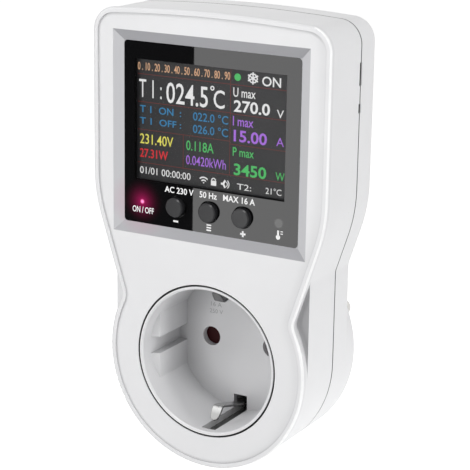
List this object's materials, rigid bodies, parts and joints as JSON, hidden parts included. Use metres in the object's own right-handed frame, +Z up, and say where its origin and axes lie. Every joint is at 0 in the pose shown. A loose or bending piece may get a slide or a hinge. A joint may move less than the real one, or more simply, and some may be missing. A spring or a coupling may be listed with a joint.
{
  "type": "smart thermostat plug",
  "caption": "Wall-socket adapter with a colour display under a glossy window, round keys below it, a keyed round socket with earth clips and a two-pin plug behind.",
  "frame": {"origin": "centre of the plug face at the back, on the axis shared by the plug and the socket", "axes": "+X right seen from the front, +Y back into the wall along the pins, +Z up"},
  "size_m": [0.07, 0.065, 0.1229],
  "materials": {
    "white_shell": "satin white",
    "white_insert": "satin white",
    "window": "clear glossy",
    "black_film": "printed black",
    "screen_glass": "dark display",
    "tray_plastic": "white",
    "board_green": "solder mask",
    "key_grey": "dark grey",
    "switch_black": "black",
    "switch_steel": "stamped",
    "lamp_pink": "lit",
    "lamp_clear": "clear",
    "shutter_red": "dark red",
    "spring_steel": "wire",
    "carrier_plastic": "off white",
    "clip_steel": "nickel plated",
    "contact_brass": "stamped",
    "pin_nickel": "nickel plated",
    "relay_blue": "moulded",
    "core_black": "ferrite",
    "can_black": "sleeved",
    "disc_blue": "dipped",
    "fuse_glass": "capped",
    "shunt_metal": "resistance alloy",
    "can_steel": "stamped",
    "bead_black": "dipped",
    "screw_steel": "zinc plated"
  },
  "bodies": {
    "case": {"front_cover": "white_shell", "rear_housing": "white_shell", "display_lens": "window", "window_film": "black_film", "lcd_panel": "screen_glass", "screen_tray": "tray_plastic", "display_board": "board_green", "key_switches": "switch_steel", "power_lamp": "lamp_pink", "status_lamp": "lamp_clear", "socket_insert": "white_insert", "shutter_spring": "spring_steel", "contact_base": "carrier_plastic", "socket_earth_clip": "clip_steel", "plug_earth_clip": "clip_steel", "earth_post": "contact_brass", "live_contact": "contact_brass", "neutral_contact": "contact_brass", "live_pin": "pin_nickel", "neutral_pin": "pin_nickel", "live_busbar": "contact_brass", "neutral_busbar": "contact_brass", "power_board": "board_green", "relay": "relay_blue", "transformer": "core_black", "capacitor": "can_black", "varistor": "disc_blue", "fuse": "fuse_glass", "shunt": "shunt_metal", "radio_module": "can_steel", "sounder": "switch_black", "clock_cell": "can_steel", "board_header": "switch_black", "air_sensor": "bead_black", "case_screws": "screw_steel", "insert_screws": "screw_steel", "board_screws": "screw_steel"},
    "minus_key_set": {"minus_key": "key_grey", "minus_plunger": "switch_black"},
    "menu_key_set": {"menu_key": "key_grey", "menu_plunger": "switch_black"},
    "plus_key_set": {"plus_key": "key_grey", "plus_plunger": "switch_black"},
    "shutter_set": {"shutter": "shutter_red"}
  },
  "joints": [
    {"name": "minus_press", "type": "slide", "parent": "case", "child": "minus_key_set", "axis": [0, 1, 0], "range_m": [0, 0.0006], "stiffness_N_per_m": 1500, "springref_m": -0.0005},
    {"name": "menu_press", "type": "slide", "parent": "case", "child": "menu_key_set", "axis": [0, 1, 0], "range_m": [0, 0.0006], "stiffness_N_per_m": 1500, "springref_m": -0.0005},
    {"name": "plus_press", "type": "slide", "parent": "case", "child": "plus_key_set", "axis": [0, 1, 0], "range_m": [0, 0.0006], "stiffness_N_per_m": 1500, "springref_m": -0.0005},
    {"name": "shutter_turn", "type": "hinge", "parent": "case", "child": "shutter_set", "pos_m": [0, -0.0228, 0], "axis": [0, 1, 0], "range_deg": [0, 38], "stiffness_Nm_per_rad": 0.004, "springref_deg": -14.32}
  ]
}
